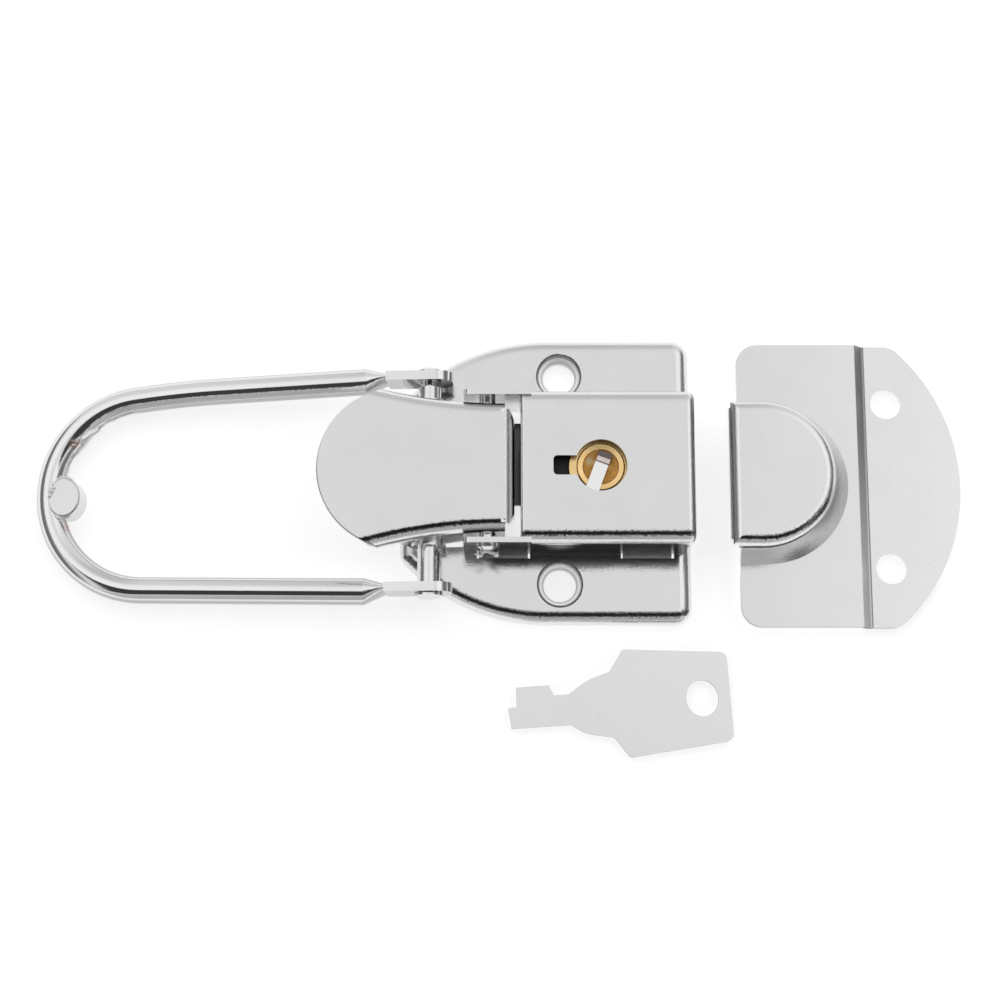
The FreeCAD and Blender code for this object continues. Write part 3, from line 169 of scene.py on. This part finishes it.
class Tree:
    """A material's or world's nodes, written one after another."""

    def __init__(self, owner):
        owner.use_nodes = True
        self.nodes = owner.node_tree.nodes
        self.links = owner.node_tree.links
        self.nodes.clear()

    def node(self, kind, settings=None, inputs=None, out=0):
        """Add a node, set it up, feed its sockets with values or links, and give one output."""
        made = self.nodes.new(kind)
        for name, value in (settings or {}).items():
            setattr(made, name, value)
        for name, value in (inputs or {}).items():
            if isinstance(value, Socket):
                self.links.new(value.link, made.inputs[name])
            else:
                made.inputs[name].default_value = value
        return Socket(self, made.outputs[out])

    def place(self):
        """Object coordinates in millimetres."""
        coordinates = self.node("ShaderNodeTexCoord", out="Object")
        return self.node("ShaderNodeVectorMath", {"operation": "SCALE"}, {0: coordinates, "Scale": 1 / MM})

    def parts(self, vector):
        """The three components of a vector."""
        split = self.node("ShaderNodeSeparateXYZ", None, {0: vector})
        outputs = split.link.node.outputs
        return [Socket(self, outputs[axis]) for axis in ("X", "Y", "Z")]

    def facing(self):
        """Components of the piece's own surface normal."""
        return self.parts(self.node("ShaderNodeTexCoord", out="Normal"))

    def noise(self, place, size, detail=2.0, rough=0.5):
        """Cloudy noise whose features are about size millimetres across."""
        return self.node("ShaderNodeTexNoise", None, {
            "Vector": place, "Scale": 1.0 / size, "Detail": detail, "Roughness": rough}, "Fac")

    def stretched(self, place, scale):
        """Coordinates drawn out or squeezed along each axis."""
        return self.node("ShaderNodeMapping", None, {"Vector": place, "Scale": scale})

    def blend_colours(self, share, first, second):
        """Colour that goes from first to second as share goes from 0 to 1."""
        return self.node("ShaderNodeMix", {"data_type": "RGBA"}, {0: share, 6: first, 7: second}, 2)

    def bump(self, height, depth):
        """Surface relief of the given depth in millimetres."""
        return self.node("ShaderNodeBump", None, {
            "Strength": 1.0, "Distance": depth * MM, "Height": height})

    def finish(self, surface, target="ShaderNodeOutputMaterial"):
        """Send the surface to the output."""
        output = self.nodes.new(target)
        self.links.new(surface.link, output.inputs["Surface"])


def material(name):
    """New material and its empty tree."""
    made = bpy.data.materials.new(name)
    return made, Tree(made)


def grey(level):
    """Neutral colour."""
    return (level, level, level, 1.0)


def shaded(colour, share):
    """Colour with its three components times share."""
    return tuple(component * share for component in colour) + (1.0,)


def band(value, low, high, blur):
    """1 where value lies between low and high, blurred at both ends."""
    half = blur / 2
    return value.step(low - half, low + half) * value.step(high + half, high - half)


def painted_front_bend_shade(tree, place, base):
    """Painted shade: a speckled dark band along bends that lean to the front, standing in for the dark they
    reflect.
    """
    facing = tree.facing()
    speckle = tree.noise(place, 0.28, 3.0, 0.7)
    lean = (speckle - 0.5) * 0.8 - facing[1]
    dark = lean.step(0.15, 0.24) * lean.step(0.52, 0.42) * facing[2].step(0.55, 0.70)
    return tree.blend_colours(dark * 0.88, base, grey(0.07))


def plated_finish(name, colour, roughness, peel, peel_size, zones=None):
    """Bright plating over steel: faint clouding, fine grain, dark pits, orange peel that opens up on bends.

    zones gives the colour and how dull the plating is, 0 to 1, at each place.
    """
    made, tree = material(name)
    place = tree.place()
    cloud = tree.noise(place, 7.0, 3.0)
    fine = tree.noise(place, peel_size, 3.0, 0.65)
    grain = tree.noise(tree.stretched(place, (0.35, 1.0, 1.0)), 0.14, 2.0)
    pits = tree.noise(place, 0.55, 1.0).step(0.76, 0.80)
    shade = cloud.step(0.3, 0.7) * 0.5 + grain.step(0.3, 0.7) * 0.5
    base = tree.blend_colours(shade, shaded(colour, 0.95), shaded(colour, 1.0))
    base = tree.blend_colours(pits * 0.15, base, grey(0.3))
    dull = 0.0
    if zones:
        base, dull = zones(tree, place, base)
    bent = abs(tree.facing()[2]).step(0.998, 0.96)
    skin = tree.node("ShaderNodeBsdfPrincipled", None, {
        "Base Color": base, "Metallic": 1.0 - dull * 0.5,
        "Roughness": roughness + cloud * 0.04 + dull * 0.3,
        "Normal": tree.bump((fine - pits * 0.3) * (0.3 + bent * 0.7), peel)})
    tree.finish(skin)
    return made


def sheet_finish(name, zones):
    """Plating of a pressed sheet."""
    return plated_finish(name, SHEET, SHEET_ROUGHNESS, PEEL, PEEL_SIZE, zones)


def cut_edge_and_painted_shade(tree, base, reach):
    """Darker upright faces where reach is 1: bare steel on the cut edges, with painted dark reflection of
    the shadowed floor before them.
    """
    up = abs(tree.facing()[2])
    return tree.blend_colours(up.step(0.35, 0.10) * reach * 0.85, base, grey(0.12))


def distance(x, y, centre):
    """Distance seen from above."""
    return ((x - centre[0]) ** 2.0 + (y - centre[1]) ** 2.0) ** 0.5


def near(x, y, centre, radius, blur):
    """1 within radius of a point seen from above, 0 beyond radius + blur."""
    return distance(x, y, centre).step(radius + blur, radius)


def wire_zones(tree, place, base):
    """Painted shade on the wire's downward-facing side, for the shadowed floor it reflects; copper showing
    thinly along the back arm and bare by the welds.
    """
    x, y = tree.parts(place)[:2]
    facing = tree.facing()
    # Painted shade: grey on the downward-facing side of the wire
    base = tree.blend_colours(facing[2].step(0.66, 0.44) * 0.8, base, grey(0.36))
    ragged = tree.noise(place, 0.5, 3.0).step(0.42, 0.55)
    lean = -facing[1]
    streak = lean.step(0.42, 0.46) * lean.step(0.56, 0.50) * y.step(2.0, 5.0)
    base = tree.blend_colours(streak * ragged * 0.6, base, THIN_COPPER)
    spots = near(x, y, WELD_COPPER_AT, 0.3, 0.9).high(near(x, y, STUD_COPPER_AT, 0.4, 0.8))
    return tree.blend_colours(spots * ragged * 0.9, base, COPPER), spots * 0.5


def weld_zones(tree, place, base):
    """Dull weld metal with a spot of copper showing through."""
    x, y = tree.parts(place)[:2]
    spots = near(x, y, WELD_COPPER_AT, 0.3, 0.6)
    return tree.blend_colours(spots * 0.8, base, COPPER), 0.5 - spots * 0.2


def cap_zones(tree, place, base):
    """Painted dark band along the front bend, standing in for the dark it reflects."""
    return painted_front_bend_shade(tree, place, base), 0.0


def lever_zones(tree, place, base):
    """Painted dark band on forward-leaning bends, darker cut edge with painted shade round the thumb tab,
    dark rim at its front left, and painted shade on the tail, deep in the housing.
    """
    x, y, z = tree.parts(place)
    tab_x = TAB_CENTRE[0]
    base = cut_edge_and_painted_shade(tree, painted_front_bend_shade(tree, place, base), x.step(tab_x - 3.0, tab_x - 4.0))
    away = distance(x, y, TAB_CENTRE)
    rim = away.step(TAB_RADIUS - 0.22, TAB_RADIUS - 0.08)
    rim = rim * x.step(tab_x - 2.0, tab_x - 4.0) * y.step(7.0, -3.0)
    base = tree.blend_colours(rim * 0.8, base, grey(0.10))
    # Painted shade: near-black on the tail where it lies in the shade of housing and lever, with a wobbly
    # edge
    shade_wobble = tree.noise(place, 0.4, 3.0) - 0.5
    tail = (x + shade_wobble * 0.5).step(LEVER_SIDE_END_X - 0.1, LEVER_SIDE_END_X + 0.6)
    tail = tail * (z + shade_wobble * 0.8).step(TAIL_SHADE_TOP_Z + 0.4, TAIL_SHADE_TOP_Z - 0.4)
    return tree.blend_colours(tail * 0.93, base, grey(0.035)), 0.0


def base_zones(tree, place, base):
    """Painted dark band on forward-leaning bends, painted shade rings round the two dimples, painted shade
    under the lever between window and housing, and a painted dark reflection of the housing's front wall on
    the plate before it.
    """
    x, y = tree.parts(place)[:2]
    base = painted_front_bend_shade(tree, place, base)
    away = distance(x, abs(y), (0.0, SCREW_HOLE_Y))
    # Painted shade: a dark ring at each dimple's edge and a grey throat round each screw hole
    edge = band(away, DIMPLE_RADIUS - 0.3, DIMPLE_RADIUS + 0.1, 0.2)
    throat = away.step(SCREW_HOLE_RADIUS + 0.4, SCREW_HOLE_RADIUS + 0.2)
    base = tree.blend_colours(edge * 0.72, base, grey(0.16))
    base = tree.blend_colours(throat * 0.6, base, grey(0.30))
    # Painted shade: near-black on the plate under the lever, between window and housing
    inside = abs(y).step(WINDOW_HALF_Y + 0.2, WINDOW_HALF_Y - 0.6)
    inside = inside * x.step(HOUSING_LEFT_X + 1.0, HOUSING_LEFT_X)
    inside = inside * x.step(WINDOW_RIGHT_X - 1.0, WINDOW_RIGHT_X - 0.2)
    base = tree.blend_colours(inside * 0.95, base, grey(0.03))
    # Painted reflection: a speckled dark strip on the plate in front of the housing's front wall, for the
    # dark wall it reflects
    speckle = tree.noise(place, 0.16, 2.0, 0.7) - 0.5
    swell = tree.noise(place, 5.0, 1.0) - 0.5
    front = y + speckle * 2.2 + swell
    wall_reflection_shade = front.step(HOUSING_FRONT_Y - 2.7, HOUSING_FRONT_Y - 1.4)
    wall_reflection_shade = wall_reflection_shade * y.step(HOUSING_FRONT_Y + 0.5, HOUSING_FRONT_Y + 0.1)
    wall_reflection_shade = wall_reflection_shade * x.step(HOUSING_LEFT_X - 5.5, HOUSING_LEFT_X - 3.5)
    wall_reflection_shade = wall_reflection_shade * x.step(HOUSING_RIGHT_X - 1.5, HOUSING_RIGHT_X - 2.1)
    wall_reflection_shade = wall_reflection_shade * away.step(DIMPLE_RADIUS - 0.2, DIMPLE_RADIUS + 0.1)
    return tree.blend_colours(wall_reflection_shade * 0.88, base, grey(0.07)), 0.0


def housing_zones(tree, place, base):
    """Painted dark reflection on the front wall, a painted highlight line along its foot, and a painted
    dark band on the right bend, over the painted dark band on forward-leaning bends.
    """
    x, y, z = tree.parts(place)
    speckle = tree.noise(place, 0.32, 3.0, 0.7)
    # Painted shade: the front wall below its top bend darkened, for the dark it reflects
    wall = y.step(HOUSING_FRONT_Y + 0.5, HOUSING_FRONT_Y + 0.2)
    wall = wall * (z + (speckle - 0.5) * 1.2).step(HOUSING_TOP_Z - 2.0, HOUSING_TOP_Z - 2.6)
    base = tree.blend_colours(wall * 0.9, painted_front_bend_shade(tree, place, base), grey(0.10))
    # Painted highlight: a light line along the front wall's foot, which is also duller
    foot = wall * z.step(BASE_TOP_Z + 0.45, BASE_TOP_Z + 0.25)
    base = tree.blend_colours(foot * 0.8, base, grey(0.75))
    # Painted shade: a speckled dark band on the right bend
    bend = tree.facing()[0].step(0.50, 0.66) * x.step(HOUSING_RIGHT_X - 1.7, HOUSING_RIGHT_X - 1.2)
    return tree.blend_colours(bend * speckle.step(0.25, 0.45) * 0.85, base, grey(0.16)), foot * 0.6


def strike_zones(tree, place, base):
    """Duller joggle with a painted shade gradient across it, a painted shade line at its foot, and darker
    cut edges at the front: bare steel with painted dark reflection.
    """
    x, y = tree.parts(place)[:2]
    joggle = band(x, DULL_SHADED_STRIP_X[0], DULL_SHADED_STRIP_X[1], 0.15)
    speckle = tree.noise(place, 0.32, 3.0, 0.7)
    # Painted shade: a speckled gradient across the joggle, light at the front and dark at the back
    joggle_painted_shade = tree.blend_colours((y + (speckle - 0.5) * 9.0).step(-18.0, 14.0), grey(0.80), grey(0.30))
    base = tree.blend_colours(joggle * 0.92, base, joggle_painted_shade)
    # Painted shade: a dark line in the crease at the joggle's foot
    foot = band(x, DARK_LINE_X[0], DARK_LINE_X[1], 0.1)
    base = tree.blend_colours(foot * 0.8, base, grey(0.10))
    return cut_edge_and_painted_shade(tree, base, y.step(-14.0, -16.0)), joggle


def key_zones(tree, place, base):
    """Darker cut edges: bare steel with painted dark reflection."""
    return cut_edge_and_painted_shade(tree, base, 1.0), 0.0


def bar_zones(tree, place, base):
    """White outer strip; leaf in the dish with a painted pinkish reflection of the brass."""
    x, y = tree.parts(place)[:2]
    along = (x - PLUG_X) * math.cos(math.radians(BAR_ANGLE)) + y * math.sin(math.radians(BAR_ANGLE))
    leaf_mottle = tree.noise(place, 0.5, 2.0)
    # Painted reflection: the leaf tinted pinkish from the brass round it, mottled
    leaf = tree.blend_colours(leaf_mottle, DARK_LEAF, LIGHT_LEAF)
    return tree.blend_colours(along.step(-0.3, -0.6), base, leaf), 0.0


def brass_finish():
    """Bright stamped brass, redder in patches, with painted light in the dish: deeper orange, less
    metallic, and a painted highlight at the dish's left.
    """
    made, tree = material("stamped brass")
    place = tree.place()
    cloud = tree.noise(place, 1.4, 3.0)
    fine = tree.noise(place, 0.25, 3.0)
    x, y = tree.parts(place)[:2]
    # Painted light: the dish is deeper orange and less metallic, standing in for the light it gathers in
    # its recess
    dish = near(x, y, (PLUG_X, 0.0), DISH_TINT_RADIUS, 0.2)
    # Painted highlight: a pale spot at the dish's left
    pale = near(x, y, DISH_HIGHLIGHT_AT, 0.25, 0.6) * dish
    base = tree.blend_colours(cloud.step(0.35, 0.75), BRASS, RED_BRASS)
    base = tree.blend_colours(dish * 0.8, base, DISH_BRASS)
    base = tree.blend_colours(pale * 0.85, base, HIGHLIGHT_BRASS)
    skin = tree.node("ShaderNodeBsdfPrincipled", None, {
        "Base Color": base, "Metallic": 0.80 - dish * 0.55, "Roughness": 0.24 + fine * 0.06,
        "Normal": tree.bump(fine, 0.002)})
    tree.finish(skin)
    return made


def dull_steel_finish():
    """Blackened steel of the hidden lock parts."""
    made, tree = material("blackened lock steel")
    place = tree.place()
    cloud = tree.noise(place, 3.0, 4.0)
    base = tree.blend_colours(cloud, DARK_LOCK_STEEL, LIGHT_LOCK_STEEL)
    skin = tree.node("ShaderNodeBsdfPrincipled", None, {
        "Base Color": base, "Metallic": 0.6, "Roughness": 0.5 + cloud * 0.15,
        "Normal": tree.bump(tree.noise(place, 0.3), 0.01)})
    tree.finish(skin)
    return made


FINISHES = {
    "cap": sheet_finish("plated cap steel", cap_zones),
    "housing": sheet_finish("plated housing steel", housing_zones),
    "lever": sheet_finish("plated lever steel", lever_zones),
    "base": sheet_finish("plated base steel", base_zones),
    "strike": sheet_finish("plated strike steel", strike_zones),
    "wire": plated_finish("plated bent wire", (0.80, 0.80, 0.80), 0.06, 0.006, 0.5, wire_zones),
    "stud": plated_finish("plated stud", (0.72, 0.72, 0.72), 0.18, 0.012, 0.5),
    "weld": plated_finish("plated weld metal", (1.0, 1.0, 1.0), 0.14, 0.11, 0.5, weld_zones),
    "rivet": plated_finish("plated rivet steel", (0.76, 0.76, 0.76), 0.10, 0.02, 0.4),
    "key": plated_finish("satin plated key", (0.88, 0.88, 0.88), 0.22, 0.006, 0.3, key_zones),
    "bar": plated_finish("bright key bar", (1.0, 1.0, 1.0), 0.30, 0.01, 0.3, bar_zones),
    "brass": brass_finish(),
    "lock": dull_steel_finish(),
}
DRESS = {
    "cap": ["strike_cap"],
    "housing": ["lock_housing"],
    "lever": ["lever"],
    "base": ["base_plate"],
    "strike": ["strike_plate"],
    "wire": ["bail"],
    "stud": ["bail_stud"],
    "rivet": ["hinge_pin", "bail_axle", "guide_rivet_left", "guide_rivet_right", "spring_rivet"],
    "key": ["key"],
    "bar": ["key_bar"],
    "brass": ["lock_plug"],
    "lock": ["plug_clip", "lock_cam", "lock_plate", "lock_bolt", "bolt_spring"],
}
for finish, pieces in DRESS.items():
    for piece in pieces:
        for slot in NODES[piece].material_slots:
            slot.material = FINISHES[finish]


def in_place_on_bail(points):
    """Points of the undrooped bail, x and z from its axle, brought to their place at rest."""
    droop = math.radians(BAIL_DROOP)
    x, y, z = points.T
    turned = [AXLE_X + x * math.cos(droop) - z * math.sin(droop), y,
              AXLE_Z + x * math.sin(droop) + z * math.cos(droop)]
    return np.stack(turned, axis=1)


def waviness(along, angle, seed):
    """Irregular wave of about -1 to 1 along t and round a, with seed s.

    The sum over k = 0 to 4 of sin((5.3 + 7.9 k + s) t + (k mod 3) a + 2.1 k s) / (1 + 0.35 k), over 2.6.
    """
    total = np.zeros(np.broadcast(along, angle).shape)
    for k in range(5):
        pitch = 5.3 + 7.9 * k + seed
        total = total + np.sin(pitch * along + (k % 3) * angle + 2.1 * k * seed) / (1.0 + 0.35 * k)
    return total / 2.6


def add_bead(name, body, finish, path, radii):
    """Tube p = path(t) + r(t, a) (cos a S + sin a U), closed by a point at each end.

    S lies across the path, level, and U stands on both S and the path.
    """
    rings, sides = radii.shape
    tangent = np.gradient(path, axis=0)
    tangent /= np.linalg.norm(tangent, axis=1, keepdims=True)
    across = np.cross(tangent, np.array([0.0, 0.0, 1.0]))
    across /= np.linalg.norm(across, axis=1, keepdims=True)
    upward = np.cross(across, tangent)
    angle = np.linspace(0.0, 2.0 * np.pi, sides, endpoint=False)
    wall = (path[:, None, :]
            + radii[:, :, None] * (np.cos(angle)[None, :, None] * across[:, None, :]
                                   + np.sin(angle)[None, :, None] * upward[:, None, :]))
    points = np.concatenate([wall.reshape(-1, 3), path[:1], path[-1:]]) * MM
    ring = np.arange(rings - 1)[:, None] * sides
    side = np.arange(sides)[None, :]
    after = (side + 1) % sides
    quads = np.stack([ring + side, ring + sides + side, ring + sides + after, ring + after], axis=2)
    first, last = rings * sides, rings * sides + 1
    start = np.stack([np.full(sides, first), side[0], after[0]], axis=1)
    top = (rings - 1) * sides
    stop = np.stack([np.full(sides, last), top + after[0], top + side[0]], axis=1)
    mesh = bpy.data.meshes.new(name)
    mesh.from_pydata(points.tolist(), [], quads.reshape(-1, 4).tolist() + start.tolist() + stop.tolist())
    mesh.shade_smooth()
    bead = bpy.data.objects.new(name, mesh)
    SCENE.collection.objects.link(bead)
    mesh.materials.append(FINISHES[finish])
    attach(bead, body)


def around(sides):
    """Angles round a bead, as one row."""
    return np.linspace(0.0, 2.0 * np.pi, sides, endpoint=False)[None, :]


def swelling(share, tip):
    """Thickness of a bead along its run, sin(pi t)^0.4, cut off at the share tip from each end."""
    return np.sin(np.pi * share.clip(tip, 1.0 - tip)) ** 0.4


def build_loop_weld():
    """Ragged weld run inside the loop's back left, thickest past its middle, with waves."""
    share = np.linspace(0.0, 1.0, 150)
    angle = np.radians(96.0 + 70.0 * share)
    reach = LOOP_RADIUS - 1.85 + 0.10 * waviness(share, 0.0, 1.7)
    path = np.stack([LOOP_CENTRE[0] + reach * np.cos(angle), LOOP_CENTRE[1] + reach * np.sin(angle),
                     0.35 + 0.15 * waviness(share, 0.0, 0.6)], axis=1)
    middle = 0.50 + 0.45 * np.exp(-((share - 0.62) / 0.20) ** 2)
    ripple = 1.0 + 0.22 * waviness(share[:, None] * 1.6, around(20), 2.3)
    radii = (swelling(share, 0.004) * middle)[:, None] * ripple
    add_bead("loop_weld", "bail", "weld", in_place_on_bail(path), radii)


def build_stud_fillet():
    """Ragged fillet along the left of the stud's oval, spilling onto its top halfway."""
    share = np.linspace(0.0, 1.0, 120)
    angle = np.radians(62.0 + 232.0 * share)
    inward = 0.55 * np.exp(-((share - 0.42) / 0.16) ** 2)
    reach = 0.05 - inward
    path = np.stack([STUD_CENTRE[0] + (STUD_HALF[0] + reach) * np.cos(angle),
                     STUD_CENTRE[1] + (STUD_HALF[1] + reach) * np.sin(angle),
                     1.35 + 0.7 * inward + 0.2 * waviness(share, 0.0, 3.1)], axis=1)
    ripple = 1.0 + 0.4 * waviness(share[:, None] * 3.0, around(18), 1.1)
    radii = 0.45 * swelling(share, 0.004)[:, None] * ripple
    add_bead("stud_fillet", "bail", "weld", in_place_on_bail(path), radii)


def build_pin_peening():
    """Curl of peened metal on the hinge pin's front end: a line along x that swings in depth and height."""
    share = np.linspace(0.0, 1.0, 90)
    left, right = PEENING_X
    path = np.stack([left + (right - left) * share + 0.35 * np.sin(11.0 * share),
                     PEENING_Y - 0.45 * np.sin(9.0 * share + 0.6),
                     PEENING_Z + 0.9 * np.cos(6.5 * share + 0.5)], axis=1)
    ripple = 1.0 + 0.3 * waviness(share[:, None] * 3.0, around(14), 0.9)
    radii = 0.30 * swelling(share, 0.006)[:, None] * ripple
    add_bead("pin_peening", "latch_body", "weld", path, radii)


def build_floor():
    """White floor with a glow of its own, so that the latch's shadow stays faint."""
    half = FLOOR_HALF
    mesh = bpy.data.meshes.new("floor")
    corners = [(-half, -half, 0.0), (half, -half, 0.0), (half, half, 0.0), (-half, half, 0.0)]
    mesh.from_pydata(corners, [], [(0, 1, 2, 3)])
    floor = bpy.data.objects.new("floor", mesh)
    SCENE.collection.objects.link(floor)
    floor.location.z = -FLOOR_DROP * MM
    made, tree = material("white paper floor")
    paper = tree.node("ShaderNodeBsdfDiffuse", None, {"Color": grey(FLOOR_COLOUR)})
    glow = tree.node("ShaderNodeEmission", None, {"Color": grey(1.0), "Strength": FLOOR_GLOW})
    tree.finish(tree.node("ShaderNodeAddShader", None, {0: paper, 1: glow}))
    mesh.materials.append(made)


def build_light():
    """Studio dome: pale overhead and at the horizon, dark far to both sides and in a gap at the front."""
    world = bpy.data.worlds.new("studio dome")
    SCENE.world = world
    tree = Tree(world)
    direction = tree.node("ShaderNodeTexCoord", out="Generated")
    x, y, z = tree.parts(direction)
    side = abs(x)
    forward = -y
    level = OVERHEAD_LEVEL + side.step(0.10, 0.30) * SIDE_GAIN - side.step(0.62, 0.85) * OVERHEAD_LEVEL
    level = level - y.step(0.35, 0.75) * BACK_LOSS
    gap = forward.step(0.04, 0.12) * forward.step(0.74, 0.62) * side.step(0.72, 0.50)
    level = level * (1.0 - gap * GAP_DEPTH)
    low_front = forward.step(0.62, 0.80)
    level = (level * (1.0 - low_front * LOW_FRONT_LOSS)).high(DARKEST_LEVEL)
    horizon = z.step(0.10, 0.03)
    level = level + (HORIZON_LEVEL - level) * horizon
    sky = tree.node("ShaderNodeBackground", None, {"Color": grey(1.0), "Strength": level})
    tree.finish(sky, "ShaderNodeOutputWorld")


def build_camera():
    """Camera above the latch and a little in front of it."""
    data = bpy.data.cameras.new("camera")
    data.lens = LENS
    data.sensor_width = SENSOR
    data.clip_start, data.clip_end = CAMERA_RANGE
    camera = bpy.data.objects.new("camera", data)
    camera.location = [c * MM for c in CAMERA_AT]
    camera.rotation_euler = (math.radians(CAMERA_TILT), 0.0, 0.0)
    SCENE.collection.objects.link(camera)
    SCENE.camera = camera


build_loop_weld()
build_stud_fillet()
build_pin_peening()
build_floor()
build_light()
build_camera()
SCENE.view_settings.view_transform = "Standard"
